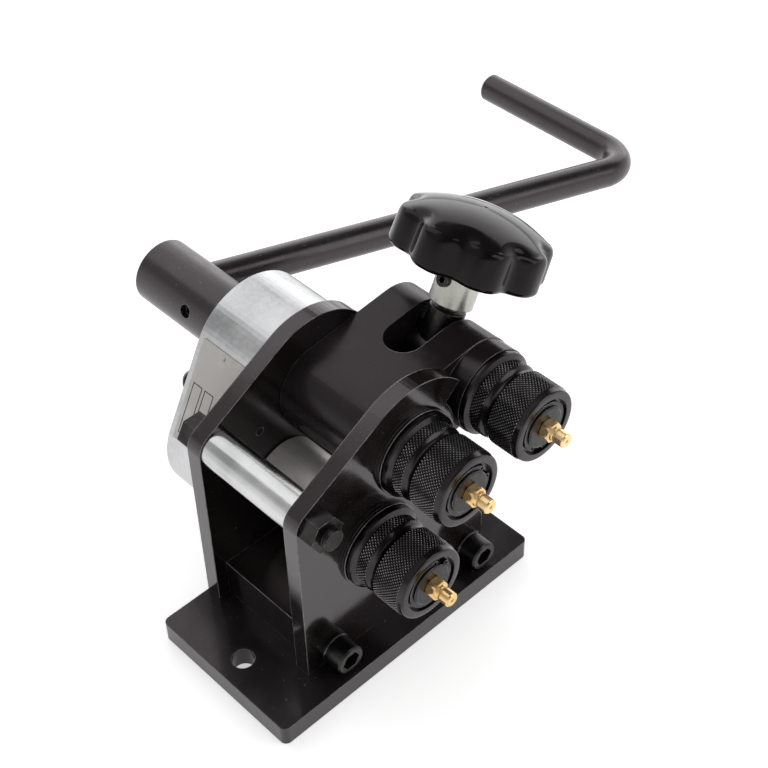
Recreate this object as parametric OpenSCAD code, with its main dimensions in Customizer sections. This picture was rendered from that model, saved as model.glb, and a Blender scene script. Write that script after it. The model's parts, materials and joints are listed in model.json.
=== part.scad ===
// Hand-cranked bench roll bending machine.
// X runs along the side plates, +Y goes to the back along the roller axes, +Z is up.
// The origin is the middle of the base plate's underside.

/* [Base] */
// Length of the base plate
base_len = 190; // [186:1:230]
// Depth of the base plate, front to back
base_depth = 104; // [90:1:140]
// Thickness of the base plate
base_t = 13; // [10:0.5:18]
// Corner radius of the base plate
base_corner_r = 4; // [2:0.5:10]
// Diameter of the bench fixing holes
base_hole_d = 13; // [9:0.5:14]
// Distance of a fixing hole from the base's end
base_hole_inset = 15.5; // [12:0.5:20]

/* [Side plates] */
// Thickness of each side plate
plate_t = 10; // [8:0.5:14]
// Clear space between the side plates
plate_gap = 66; // [60:1:80]
// X of the plates' left edge
plate_left = -61.5; // [-66:0.5:-56]
// X of the plates' right edge, at the foot
plate_right = 74; // [74:0.5:80]
// Height of the right foot over the base's top
foot_h = 32; // [28:0.5:38]
// Radius of the plates round the drive shaft
head_r = 44; // [38:0.5:48]
// Radius of the plates' upper left corner, round the tie bolt
tie_corner_r = 12; // [11:0.5:18]
// Height of the tie bolt over the base's underside
tie_z = 127; // [112:1:132]
// Rounding of the foot's corner
foot_round = 8; // [3:0.5:12]

/* [Spacers between the plates] */
// Height of the block between the plates' feet
block_h = 25; // [22:0.5:30]
// Step from the plates' left edge to the block
block_inset_left = 7.5; // [3:0.5:12]
// Step from the plates' right edge to the block
block_inset_right = 2; // [1:0.5:2.5]
// Outside diameter of the tie tube
tube_d = 22; // [17:0.5:24]
// Diameter of the tie bolt
tie_d = 12; // [8:1:14]
// Width across flats of the tie bolt's nut and head
tie_af = 19; // [18:0.5:22]
// Thickness of the tie bolt's nut and head
tie_nut_h = 10; // [6:0.5:12]

/* [Screws] */
// Diameter of the cap screws that hold the plates to the block
cap_d = 12; // [8:0.5:12]
// Head diameter of the cap screws
cap_head_d = 18; // [16:0.5:19]
// Head height of the cap screws
cap_head_h = 12; // [8:0.5:14]
// Length of the cap screws in the plate and the block
cap_len = 32; // [24:1:40]
// Height of the cap screws over the base's top
cap_z = 10; // [9.5:0.25:12]
// Distance of the cap screws from the block's ends
cap_inset = 11; // [9:0.5:14]
// Diameter of the countersunk screws under the base
foot_screw_d = 8; // [6:0.5:10]
// Distance of those screws from the block's ends
foot_screw_inset = 30; // [26:1:36]

/* [Rollers and shafts] */
// X of the drive shaft
drive_x = 20; // [16:0.5:22]
// Height of the drive shaft over the base's underside
drive_z = 129; // [126:0.5:136]
// Direction from the drive shaft to the lower shaft, in degrees
lower_angle = 241.6; // [236:0.2:246]
// Outside diameter of the knurled bands
roller_d = 44.6; // [40:0.2:48]
// Diameter of the roller's rear flange
flange_d = 50; // [49:0.2:51]
// Width of the rear flange
flange_w = 4.5; // [3:0.5:6]
// Width of the narrow knurled band
band_narrow_w = 7; // [5:0.5:10]
// Width of the smooth groove
groove_w = 5.5; // [4:0.5:8]
// Depth of the smooth groove
groove_depth = 2.2; // [1:0.1:3]
// Width of the wide knurled band
band_wide_w = 17.5; // [12:0.5:24]
// Width of the smooth nose in front of the wide band
nose_w = 3.5; // [3:0.5:6]
// Shaft diameter in the rollers and the front bushes
shaft_d = 25; // [20:0.5:27]
// Shaft diameter in the gears and the crank hub
tail_d = 22; // [18:0.5:24]
// Outside diameter of the shaft bushes
bush_d = 32; // [30:0.5:34]
// Diameter of the front bushes' flanges
bush_flange_d = 52; // [44:0.5:54]
// Thickness of the front bushes' flanges
bush_flange_t = 2; // [1.5:0.25:3]
// Thickness of the circlips
clip_t = 1.6; // [1.2:0.1:2]
// Radial width of the circlips
clip_w = 3.2; // [2.5:0.1:4]
// Diameter of the sleeve on the lower shaft
sleeve_d = 34; // [30:0.5:44]
// Length of the sleeve on the lower shaft
sleeve_len = 20; // [12:1:40]

/* [Grease nipples] */
// Width across flats of the nipple's hexagon
nipple_af = 11; // [9:0.5:12]
// Length of the nipple's hexagon
nipple_hex_l = 5.5; // [4:0.5:8]
// Length of the nipple's stem and ball
nipple_tip_l = 9; // [7:0.5:12]
// Diameter of the nipple's ball
nipple_ball_d = 6.5; // [5.5:0.1:7]
// Diameter of the nipple's thread
nipple_thread_d = 10; // [6:0.5:10]

/* [Gears and cover] */
// Teeth on each gear
gear_teeth = 19; // [19:1:19]
// Tooth size, pitch diameter over teeth
gear_module = 3; // [2.95:0.05:3.1]
// Width of the gears
gear_w = 20; // [12:1:26]
// Thinning of the teeth that lets them run freely
backlash = 0.3; // [0.2:0.05:0.6]
// Outside radius of the cover round each shaft
cover_r = 40; // [38:0.5:44]
// Depth of the cover
cover_depth = 44; // [40:1:56]
// Sheet thickness of the cover
cover_sheet = 2; // [1:0.25:3]
// Diameter of the pillars that carry the cover
pillar_d = 10; // [8:0.5:12]
// Head diameter of the cover screws
cover_screw_d = 13; // [10:0.5:13]
// Head height of the cover screws
cover_screw_h = 7; // [4:0.5:9]
// Length of the label plate
label_len = 62; // [40:1:70]
// Width of the label plate
label_w = 36; // [24:1:38]
// Thickness of the label plate
label_t = 0.8; // [0.5:0.1:1.5]

/* [Crank] */
// Outside diameter of the crank hub
hub_d = 40; // [36:0.5:46]
// Length of the crank hub
hub_len = 77; // [66:1:90]
// Space between the cover and the crank hub
hub_gap = 3; // [1:0.5:8]
// Distance from the hub's front end to the crank rod
hub_rod_y = 56; // [46:1:60]
// Distance from the hub's front end to the grub screw
hub_grub_y = 32; // [14:1:34]
// Diameter of the grub screw in the hub
hub_grub_d = 8; // [6:0.5:10]
// Direction of the grub screw round the hub, in degrees
hub_grub_angle = 160; // [150:1:200]
// Diameter of the crank rod
rod_d = 20; // [16:0.5:24]
// Distance from the drive axis to the grip's axis
crank_r = 345; // [200:5:400]
// Fall of the crank rod in the rest position, in degrees
crank_fall = 9.5; // [0:0.5:15]
// Lean of the crank rod towards the front, in degrees
crank_lean = 10.2; // [0:0.2:11]
// Length of the grip
grip_len = 140; // [90:5:180]
// Centre line radius of the bend
bend_r = 24; // [18:1:40]
// Bevel of the grip's end
grip_bevel = 2; // [0.5:0.5:4]

/* [Swing arm] */
// Radius of the arm round both of its shafts
arm_r = 26; // [25.5:0.25:27]
// Angle of the arm over the horizontal in the rest position
arm_angle = 6.2; // [0:0.2:10]
// Swing of the arm below the rest position, in degrees
arm_swing = 40; // [30:1:40]
// Width of the slot for the lifting screw
slot_w = 24; // [20:0.5:30]
// Distance from the drive shaft to the slot's closed end
slot_start = 27.5; // [26.5:0.25:29]
// Outside diameter of the arm's bush
arm_bush_d = 31; // [28:0.5:34]

/* [Lifting screw] */
// Diameter of the lifting screw
screw_d = 12; // [8:0.5:12]
// Lean of the screw from the vertical in the rest position, in degrees
screw_lean = 28; // [24:0.2:30]
// Space between the arm's round end and the set collar
collar_gap = 4.5; // [1:0.5:8]
// Diameter of the set collar
collar_d = 25.4; // [22:0.2:30]
// Height of the set collar
collar_h = 23.5; // [14:0.5:28]
// Diameter of the collar's set screw
collar_screw_d = 8; // [5:0.5:8]
// Diameter of the knob's lower rim
knob_d = 89; // [70:1:100]
// Height of the knob's rim
knob_rim_h = 19; // [14:0.5:26]
// Narrowing of the rim towards the dome
knob_taper = 1.6; // [0:0.1:3]
// Rise of the dome over the rim
knob_dome_h = 17; // [10:0.5:22]
// Lobes of the knob
knob_lobes = 8; // [5:1:10]
// Radius of the hollows between the lobes
knob_hollow_r = 11; // [7:0.5:14]
// Depth of the hollows between the lobes
knob_hollow = 5.5; // [3:0.5:7]
// Rounding of the knob's edges
knob_round = 3; // [1.5:0.5:4]
// Diameter of the hub under the knob
knob_hub_d = 32; // [28:0.5:40]
// Depth of the hollow under the knob
knob_under = 12; // [6:0.5:14]
// Wall of the knob's rim
knob_wall = 12; // [10:0.5:14]
// Turn of the knob in the rest position, in degrees
knob_turn = 6; // [0:1:45]
// Diameter of the screw's ball foot
ball_d = 10; // [8:0.5:11]
// Height of the cup over the block
cup_h = 8; // [7:0.5:10]
// Room round the ball in its cup
cup_room = 2.2; // [2:0.1:2.6]
// Wall of the cup
cup_wall = 2.3; // [1.5:0.1:3]

/* [Fits] */
// Radial clearance of turning shafts
run_gap = 0.05; // [0.03:0.01:0.08]
// Radial clearance of fixed pieces
seat_gap = 0.03; // [0.02:0.01:0.05]
// Side clearance between pieces that move past each other
side_gap = 0.3; // [0.2:0.05:0.5]
// Room between the plates and the swinging boss
swing_gap = 1; // [0.8:0.1:2]

/* [Hidden] */
$fn = 64;
// Small overlap that makes cuts pass right through
cut = 1;

// Depths, front to back
rear_y1 = base_depth / 2;
rear_y0 = rear_y1 - plate_t;
front_y1 = rear_y0 - plate_gap;
front_y0 = front_y1 - plate_t;
mid_y = (front_y1 + rear_y0) / 2;
boss_y = front_y0 - bush_flange_t;
roller_y1 = boss_y - side_gap;
roller_len = flange_w + band_narrow_w + groove_w + band_wide_w + nose_w;
roller_y0 = roller_y1 - roller_len;
cover_y = rear_y1 + cover_depth;
hub_y0 = cover_y + hub_gap;
hub_y1 = hub_y0 + hub_len;
gear_y0 = rear_y1 + (cover_depth - cover_sheet - gear_w) / 2;

// Radii
shaft_r = shaft_d / 2;
tail_r = tail_d / 2;
rod_r = rod_d / 2;
screw_r = screw_d / 2;
ball_r = ball_d / 2;
nipple_hex_r = nipple_af / 2 / cos(30);

// Shaft axes in the X and Z plane
centre_dist = gear_module * gear_teeth;
drive = [drive_x, drive_z];
lower = drive + centre_dist * [cos(lower_angle), sin(lower_angle)];
bending = drive + centre_dist * [cos(arm_angle), sin(arm_angle)];
tie = [plate_left + tie_corner_r, tie_z];

// The block and its screws
block_x0 = plate_left + block_inset_left;
block_x1 = plate_right - block_inset_right;
block_top = base_t + block_h;
cap_axis_z = base_t + cap_z;

// The circlip's recess in a roller's nose
recess_r = shaft_r + clip_w + 1.2;
recess_h = clip_t + 0.8;
clip_y = roller_y0 + recess_h - clip_t - 0.2;
groove_depth_clip = 0.8;
shaft_end_y = roller_y0 - 0.6;
nipple_bore_h = 9;

// The lifting screw: its direction, its rest line and its foot
screw_up = [sin(screw_lean), cos(screw_lean)];
foot_z = block_top + cup_h / 2 + side_gap + ball_r;
screw_reach = (bending[1] - foot_z) / screw_up[1];
foot = bending - screw_reach * screw_up;
cup_r = ball_r + cup_room;
collar_z = arm_r + collar_gap;
knob_z = collar_z + collar_h;
knob_rim_z = knob_z + knob_rim_h;
screw_top = knob_rim_z + knob_dome_h / 3;
stem_r = screw_r / 2;
stem_h = 10;
neck_h = ball_r + 1.5;

// Fastener details
socket_af = 10;
socket_h = 6;
stud_end = 5;
grub_len = 6;
rivet_r = 1.6;
rivet_h = 0.8;
clip_gap_angle = 40;
// Spacing of the points on drawn arcs, in degrees
arc_step = 4;
// Step between the arm's round end and its front boss
boss_step = 0.5;
// Free angle above and below the swinging boss
bay_room = 6;
// The bend is a hair thicker than the rod and laps over its ends, so that they join
bend_skin = 0.02;
bend_lap = 0.5;
clip_ear_r = 2.6;
clip_eye_r = 1;

black = [0.09, 0.09, 0.1];
dark = [0.16, 0.15, 0.16];
steel = [0.72, 0.72, 0.72];
zinc = [0.85, 0.86, 0.86];
brass = [0.85, 0.65, 0.35];
bronze = [0.35, 0.3, 0.26];

// A flat shape in X and Z, given thickness from y0 to y1
module slab(y0, y1) {
    translate([0, y1, 0])
        rotate([90, 0, 0])
            linear_extrude(y1 - y0)
                children();
}

// A round bar along Y at a point of the X and Z plane
module bar(p, r, y0, y1) {
    translate([p[0], y1, p[1]])
        rotate([90, 0, 0])
            cylinder(h = y1 - y0, r = r);
}

// A turned piece along Y: each point is a radius and a depth
module turned(p, points) {
    translate([p[0], 0, p[1]])
        rotate([-90, 0, 0])
            rotate_extrude()
                polygon(points);
}

// A hexagon along Y
module hex_bar(p, af, y0, y1) {
    translate([p[0], y1, p[1]])
        rotate([90, 0, 0])
            cylinder(h = y1 - y0, r = af / 2 / cos(30), $fn = 6);
}

// Two equal round ends and the strip between them, in the X and Z plane
module stadium(a, b, r) {
    tilt = atan2(b[1] - a[1], b[0] - a[0]);
    polygon(concat(arc(a, r, tilt + 90, tilt + 270), arc(b, r, tilt - 90, tilt + 90)));
}

function toward(p, angle, r) = p + r * [cos(angle), sin(angle)];

// Points on an arc from angle a0 to angle a1
function arc(p, r, a0, a1) =
    let (n = ceil(abs(a1 - a0) / arc_step))
    [for (i = [0:n]) toward(p, a0 + (a1 - a0) * i / n, r)];

module base_plate() {
    half = [base_len / 2 - base_corner_r, base_depth / 2 - base_corner_r];
    color(black)
        difference() {
            linear_extrude(base_t)
                union() {
                    square([base_len, base_depth - 2 * base_corner_r], center = true);
                    square([base_len - 2 * base_corner_r, base_depth], center = true);
                    for (sx = [-1, 1], sy = [-1, 1])
                        translate([sx * half[0], sy * half[1]])
                            circle(base_corner_r);
                }
            for (sx = [-1, 1])
                translate([sx * (base_len / 2 - base_hole_inset), 0, -cut])
                    cylinder(h = base_t + 2 * cut, d = base_hole_d);
            foot_screw_places() {
                translate([0, 0, -cut])
                    cylinder(h = base_t + 2 * cut, d = foot_screw_d + 2 * seat_gap);
                foot_screw_head(seat_gap);
            }
        }
}

// The countersunk screws stand on the block's centre line, under the base
module foot_screw_places() {
    for (x = [block_x0 + foot_screw_inset, block_x1 - foot_screw_inset], sy = [-1, 1])
        translate([x, mid_y + sy * plate_gap / 4, 0])
            children();
}

module foot_screw_head(gap) {
    rotate_extrude()
        polygon([[0, -cut], [foot_screw_d + gap, -cut], [foot_screw_d + gap, 0.5],
            [foot_screw_d / 2 + gap, foot_screw_d / 2 + 0.5], [0, foot_screw_d / 2 + 0.5]]);
}

module foot_screws() {
    color(dark)
        foot_screw_places()
            difference() {
                union() {
                    cylinder(h = base_t + block_h / 2, d = foot_screw_d);
                    foot_screw_head(0);
                }
                translate([0, 0, -2 * cut])
                    cylinder(h = 2 * cut + 0.5, d = 4 * foot_screw_d);
                cylinder(h = foot_screw_d / 2, d = foot_screw_d * 0.7, $fn = 6);
            }
}

module spacer_block() {
    color(black)
        difference() {
            translate([block_x0, front_y1, base_t])
                cube([block_x1 - block_x0, plate_gap, block_h]);
            for (x = [block_x0 + cap_inset, block_x1 - cap_inset]) {
                bar([x, cap_axis_z], cap_d / 2 + seat_gap, front_y1 - cut, front_y0 + cap_len + cut);
                bar([x, cap_axis_z], cap_d / 2 + seat_gap, rear_y1 - cap_len - cut, rear_y0 + cut);
            }
            foot_screw_places()
                translate([0, 0, base_t - cut])
                    cylinder(h = block_h / 2 + 2 * cut, d = foot_screw_d + 2 * seat_gap);
        }
}

// The side plates' outline: the slanted edge is tangent to the tie corner and to the head,
// and the bay on the right leaves room for the arm's swinging boss
module plate_outline() {
    span = drive - tie;
    slant = atan2(span[1], span[0]) + asin((head_r - tie_corner_r) / norm(span));
    sweep = asin(arm_r / centre_dist);
    bay_top = arm_angle + sweep + bay_room;
    bay_bottom = arm_angle - arm_swing - sweep - bay_room;
    foot_top = base_t + foot_h;
    neck_r = centre_dist - arm_r - swing_gap;
    bay_foot = drive + (drive_z - foot_top) * [-1 / tan(bay_bottom), -1];
    polygon(concat([[plate_left, base_t]], arc(tie, tie_corner_r, 180, slant + 90),
        arc(drive, head_r, slant + 90, bay_top), arc(drive, neck_r, bay_top, bay_bottom), [bay_foot],
        arc([plate_right - foot_round, foot_top - foot_round], foot_round, 90, 0), [[plate_right, base_t]]));
}

module side_plate(y0, y1) {
    difference() {
        slab(y0, y1)
            plate_outline();
        for (p = [drive, lower])
            bar(p, bush_d / 2 + seat_gap, y0 - cut, y1 + cut);
        bar(tie, tie_d / 2 + seat_gap, y0 - cut, y1 + cut);
        for (x = [block_x0 + cap_inset, block_x1 - cap_inset])
            bar([x, cap_axis_z], cap_d / 2 + seat_gap, y0 - cut, y1 + cut);
    }
}

module front_plate() {
    color(black)
        side_plate(front_y0, front_y1);
}

module rear_plate() {
    color(black)
        difference() {
            side_plate(rear_y0, rear_y1);
            pillar_places()
                bar([0, 0], pillar_d / 4 + seat_gap, rear_y0 - cut, rear_y1 + cut);
        }
}

module tie_tube() {
    color(zinc)
        difference() {
            bar(tie, tube_d / 2, front_y1, rear_y0);
            bar(tie, tie_d / 2 + side_gap, front_y1 - cut, rear_y0 + cut);
        }
}

module tie_bolt() {
    color(dark) {
        bar(tie, tie_d / 2, front_y0 - tie_nut_h - stud_end, rear_y1);
        hex_bar(tie, tie_af, rear_y1, rear_y1 + tie_nut_h);
    }
}

module tie_nut() {
    color(dark)
        difference() {
            hex_bar(tie, tie_af, front_y0 - tie_nut_h, front_y0);
            bar(tie, tie_d / 2 + seat_gap, front_y0 - tie_nut_h - cut, front_y0 + cut);
        }
}

// A socket cap screw whose head rests on the face at y and whose shank runs to the back
module cap_screw(x, y) {
    translate([x, y, cap_axis_z])
        difference() {
            union() {
                bar([0, 0], cap_head_d / 2, -cap_head_h, 0);
                bar([0, 0], cap_d / 2, 0, cap_len);
            }
            hex_bar([0, 0], socket_af, -cap_head_h - cut, socket_h - cap_head_h);
        }
}

module front_cap_screws() {
    color(dark)
        for (x = [block_x0 + cap_inset, block_x1 - cap_inset])
            cap_screw(x, front_y0);
}

module rear_cap_screws() {
    color(dark)
        translate([0, rear_y1, 0])
            mirror([0, 1, 0])
                for (x = [block_x0 + cap_inset, block_x1 - cap_inset])
                    cap_screw(x, 0);
}

module front_bushes() {
    color(black)
        for (p = [drive, lower])
            difference() {
                union() {
                    bar(p, bush_d / 2, front_y0, front_y1);
                    bar(p, bush_flange_d / 2, boss_y, front_y0);
                }
                bar(p, shaft_r + run_gap, boss_y - cut, front_y1 + cut);
            }
}

module rear_bushes() {
    color(bronze)
        for (p = [drive, lower])
            difference() {
                bar(p, bush_d / 2, rear_y0, rear_y1);
                bar(p, shaft_r + run_gap, rear_y0 - cut, rear_y1 + cut);
            }
}

// The cover's pillars stand beside the gears, where neither tooth ring reaches
module pillar_places() {
    along = lower_angle - 180;
    half_way = (drive + lower) / 2;
    for (side = [-1, 1]) {
        p = toward(half_way, along + side * 90, cover_r - cover_sheet - pillar_d / 2 - 2);
        translate([p[0], 0, p[1]])
            children();
    }
}

module gear_cover() {
    color(zinc)
        difference() {
            slab(rear_y1, cover_y)
                stadium(lower, drive, cover_r);
            slab(rear_y1 - cut, cover_y - cover_sheet)
                stadium(lower, drive, cover_r - cover_sheet);
            bar(drive, tail_r + 2, cover_y - cover_sheet - cut, cover_y + cut);
            pillar_places()
                bar([0, 0], pillar_d / 4 + seat_gap, cover_y - cover_sheet - cut, cover_y + cut);
        }
}

module cover_pillars() {
    color(zinc)
        pillar_places()
            difference() {
                union() {
                    bar([0, 0], pillar_d / 2, rear_y1, cover_y - cover_sheet);
                    bar([0, 0], pillar_d / 4, rear_y0, rear_y1);
                }
                bar([0, 0], pillar_d / 4 + seat_gap, cover_y - cover_sheet - pillar_d, cover_y);
            }
}

module cover_screws() {
    color(dark)
        pillar_places() {
            bar([0, 0], pillar_d / 4, cover_y - cover_sheet - pillar_d + cut, cover_y);
            turned([0, 0], [[0, cover_y], [cover_screw_d / 2, cover_y],
                [cover_screw_d / 2, cover_y + cover_screw_h * 0.6], [cover_screw_d / 3, cover_y + cover_screw_h],
                [0, cover_y + cover_screw_h]]);
        }
}

// The label lies on the cover's flat left side
module on_label_face() {
    along = lower_angle - 180;
    half_way = (drive + lower) / 2;
    p = toward(half_way, along + 90, cover_r);
    translate([p[0], (rear_y1 + cover_y) / 2, p[1]])
        rotate([0, -along, 0])
            children();
}

module label_plate() {
    color(zinc)
        on_label_face()
            difference() {
                translate([-label_len / 2, -label_w / 2, 0])
                    cube([label_len, label_w, label_t]);
                label_rivet_places()
                    translate([0, 0, -cut])
                        cylinder(h = label_t + 2 * cut, r = rivet_r / 2 + seat_gap);
            }
}

module label_rivet_places() {
    for (side = [-1, 1])
        translate([side * (label_len / 2 - 2 * rivet_r), 0, 0])
            children();
}

module label_rivets() {
    color(steel)
        on_label_face()
            label_rivet_places() {
                cylinder(h = label_t, r = rivet_r / 2);
                translate([0, 0, label_t])
                    cylinder(h = rivet_h, r1 = rivet_r, r2 = rivet_r * 0.6);
            }
}

module screw_cup() {
    color(steel)
        translate([foot[0], mid_y, block_top])
            difference() {
                cylinder(h = cup_h, r = cup_r + cup_wall);
                translate([0, 0, cup_h / 2])
                    cylinder(h = cup_h, r = cup_r);
            }
}

// A shaft: full size through the roller, then a thinner tail to the back
module shaft(p, step_y, tail_radius, end_y) {
    clip_bottom_r = shaft_r - groove_depth_clip;
    difference() {
        turned(p, [[0, shaft_end_y], [shaft_r - 1, shaft_end_y], [shaft_r, shaft_end_y + 0.4],
            [shaft_r, clip_y - 0.1], [clip_bottom_r, clip_y - 0.1], [clip_bottom_r, clip_y + clip_t],
            [shaft_r, clip_y + clip_t], [shaft_r, step_y], [tail_radius, step_y], [tail_radius, end_y],
            [0, end_y]]);
        bar(p, nipple_thread_d / 2 + seat_gap, shaft_end_y - cut, shaft_end_y + nipple_bore_h);
    }
}

// A roller: rear flange, narrow band, hollow groove, wide band and a bevelled nose with a recess
module roller(p, gap) {
    r = roller_d / 2;
    y_band = roller_y1 - flange_w;
    y_groove = y_band - band_narrow_w;
    y_wide = y_groove - groove_w;
    y_nose = y_wide - band_wide_w;
    bore = shaft_r + gap;
    color(dark)
        turned(p, [[bore, roller_y1], [flange_d / 2, roller_y1], [flange_d / 2, roller_y1 - flange_w * 0.6],
            [r, y_band], [r, y_groove],
            for (i = [1:7]) [r - groove_depth * sin(180 * i / 8), y_groove - groove_w * i / 8],
            [r, y_wide], [r, y_nose], [r - 0.8, y_nose], [r - 0.8, roller_y0 + 1.6], [r - 2.4, roller_y0],
            [recess_r, roller_y0], [recess_r, roller_y0 + recess_h], [bore, roller_y0 + recess_h]]);
}

// An open ring with two eyed ears, in the groove of a shaft's end
module circlip(p, turn) {
    inner = shaft_r - groove_depth_clip + seat_gap;
    outer = inner + clip_w;
    ear = (inner + outer) / 2 + 0.2;
    half_gap = clip_gap_angle / 2;
    color(steel)
        slab(clip_y, clip_y + clip_t - 0.1)
            translate(p)
                rotate(turn)
                    difference() {
                        union() {
                            difference() {
                                circle(outer);
                                polygon([[0, 0], toward([0, 0], -half_gap, 2 * outer),
                                    toward([0, 0], half_gap, 2 * outer)]);
                            }
                            for (side = [-1, 1])
                                translate(toward([0, 0], side * half_gap, ear))
                                    circle(clip_ear_r - 0.8);
                        }
                        circle(inner);
                        for (side = [-1, 1])
                            translate(toward([0, 0], side * half_gap, ear))
                                circle(clip_eye_r);
                    }
}

// A grease nipple: thread, hexagon, tapered stem and ball
module nipple(p) {
    y = shaft_end_y;
    y_hex = y - nipple_hex_l;
    y_tip = y_hex - nipple_tip_l;
    neck = nipple_ball_d / 2 * 0.72;
    color(brass) {
        bar(p, nipple_thread_d / 2, y, y + nipple_bore_h - 2);
        hex_bar(p, nipple_af, y_hex, y);
        turned(p, [[0, y_hex], [nipple_af / 2 - 0.6, y_hex], [neck, y_hex - nipple_tip_l * 0.45],
            [neck, y_hex - nipple_tip_l * 0.55], [nipple_ball_d / 2, y_hex - nipple_tip_l * 0.72],
            [nipple_ball_d / 2, y_hex - nipple_tip_l * 0.82], [nipple_ball_d / 4, y_tip], [0, y_tip]]);
    }
}

function inv(a) = tan(a) * 180 / PI - a;

// A spur gear with involute flanks; turn sets a tooth's direction
module spur_gear(p, turn) {
    pitch_r = centre_dist / 2;
    base_r = pitch_r * cos(20);
    tip_r = pitch_r + gear_module;
    root_r = pitch_r - 1.25 * gear_module;
    half = 90 / gear_teeth - backlash / pitch_r * 90 / PI;
    steps = 5;
    radii = [for (i = [0:steps]) base_r + (tip_r - base_r) * i / steps];
    swing = [for (r = radii) half + inv(20) - inv(acos(base_r / r))];
    points = [for (k = [0:gear_teeth - 1]) let (c = turn + 360 * k / gear_teeth) each concat(
        [toward([0, 0], c - swing[0], root_r)],
        [for (i = [0:steps]) toward([0, 0], c - swing[i], radii[i])],
        [for (i = [steps:-1:0]) toward([0, 0], c + swing[i], radii[i])],
        [toward([0, 0], c + swing[0], root_r)])];
    color(steel)
        difference() {
            slab(gear_y0, gear_y0 + gear_w)
                translate(p)
                    polygon(points);
            bar(p, tail_r + seat_gap, gear_y0 - cut, gear_y0 + gear_w + cut);
        }
}

module drive_shaft() {
    color(steel)
        shaft(drive, rear_y1 + 1, tail_r, hub_y1 - 5);
}

module drive_roller() {
    roller(drive, seat_gap);
}

module drive_clip() {
    circlip(drive, 25);
}

module drive_nipple() {
    nipple(drive);
}

module drive_gear() {
    spur_gear(drive, lower_angle);
}

module lower_shaft() {
    color(steel)
        shaft(lower, rear_y1 + 1, tail_r, gear_y0 + gear_w + 4);
}

// The sleeve keeps the lower shaft in place against the rear plate
module lower_sleeve() {
    color(dark)
        difference() {
            bar(lower, sleeve_d / 2, rear_y0 - side_gap - sleeve_len, rear_y0 - side_gap);
            bar(lower, shaft_r + seat_gap, rear_y0 - side_gap - sleeve_len - cut, rear_y0);
        }
}

module lower_roller() {
    roller(lower, seat_gap);
}

module lower_clip() {
    circlip(lower, 55);
}

module lower_nipple() {
    nipple(lower);
}

module lower_gear() {
    spur_gear(lower, lower_angle - 180 + 180 / gear_teeth);
}

module crank_hub() {
    color(black)
        difference() {
            bar(drive, hub_d / 2, hub_y0, hub_y1);
            bar(drive, tail_r + seat_gap, hub_y0 - cut, hub_y1 - 4);
            crank_line(seat_gap);
            hub_grub_hole(hub_grub_d / 2 + seat_gap, tail_r - 2, hub_d);
        }
}

// A round hole or bar that points out of the hub at the grub screw's place
module hub_grub_hole(r, from, to) {
    translate([drive_x, hub_y0 + hub_grub_y, drive_z])
        rotate([0, 90 - hub_grub_angle, 0])
            translate([0, 0, from])
                cylinder(h = to - from, r = r);
}

module hub_grub_screw() {
    color(dark)
        difference() {
            hub_grub_hole(hub_grub_d / 2, tail_r + side_gap, tail_r + side_gap + grub_len);
            translate([drive_x, hub_y0 + hub_grub_y, drive_z])
                rotate([0, 90 - hub_grub_angle, 0])
                    translate([0, 0, tail_r + side_gap + grub_len / 2])
                        cylinder(h = grub_len, r = hub_grub_d / 4, $fn = 6);
        }
}

// The crank rod in its own plane: out from the hub, round the bend and along the grip.
// The gap widens it for the hole in the hub.
module crank_line(gap) {
    start = tail_r + 1.5;
    turn = 90 + crank_lean;
    out_dir = [cos(crank_lean), -sin(crank_lean)];
    bend_len = bend_r * tan(turn / 2);
    corner = [crank_r, -crank_r * tan(crank_lean)];
    rod_len = crank_r / cos(crank_lean) - bend_len - start;
    bend_start = corner - bend_len * out_dir;
    bend_mid = bend_start + bend_r * [sin(crank_lean), cos(crank_lean)];
    r = rod_r + gap;
    grip_straight = grip_len - bend_len - grip_bevel;
    translate([drive_x, hub_y0 + hub_rod_y, drive_z])
        rotate([0, crank_fall, 0]) {
            translate(start * [out_dir[0], out_dir[1], 0])
                rotate([0, 0, -crank_lean])
                    rotate([0, 90, 0])
                        cylinder(h = rod_len + bend_lap, r = r);
            if (gap == 0) {
                translate([bend_mid[0], bend_mid[1], 0])
                    rotate([0, 0, -turn])
                        rotate_extrude(angle = turn)
                            translate([bend_r, 0])
                                circle(rod_r + bend_skin);
                translate([corner[0], corner[1] + bend_len, 0])
                    rotate([-90, 0, 0])
                        rotate_extrude()
                            polygon([[0, -bend_lap], [rod_r, -bend_lap], [rod_r, grip_straight],
                                [rod_r - grip_bevel, grip_straight + grip_bevel], [0, grip_straight + grip_bevel]]);
            }
        }
}

module crank_handle() {
    color(black)
        crank_line(0);
}

// Frame of the swing arm: X runs from the drive shaft to the bending shaft
module in_arm() {
    translate([drive_x, mid_y, drive_z])
        rotate([0, -arm_angle, 0])
            children();
}

module swing_arm() {
    color(black)
        difference() {
            union() {
                slab(front_y1 + side_gap, rear_y0 - side_gap)
                    stadium(drive, bending, arm_r);
                bar(bending, arm_r - boss_step, boss_y, front_y1 + side_gap + cut);
            }
            in_arm()
                translate([slot_start + slot_w / 2, 0, -2 * arm_r])
                    linear_extrude(4 * arm_r)
                        union() {
                            circle(slot_w / 2);
                            translate([0, -slot_w / 2])
                                square([centre_dist + arm_r, slot_w]);
                        }
            bar(drive, arm_bush_d / 2 + seat_gap, front_y1, rear_y0);
            bar(bending, shaft_r + run_gap, boss_y - cut, rear_y0);
        }
}

module arm_bush() {
    color(bronze)
        difference() {
            bar(drive, arm_bush_d / 2, front_y1 + side_gap, rear_y0 - side_gap);
            bar(drive, shaft_r + run_gap, front_y1, rear_y0);
        }
}

// The bending shaft is the nut of the lifting screw, which crosses it in the arm's slot
module bending_shaft() {
    color(steel)
        difference() {
            shaft(bending, mid_y, shaft_r, rear_y0 - side_gap);
            in_screw()
                cylinder(h = 4 * shaft_r, r = screw_r + run_gap, center = true);
        }
}

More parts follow.
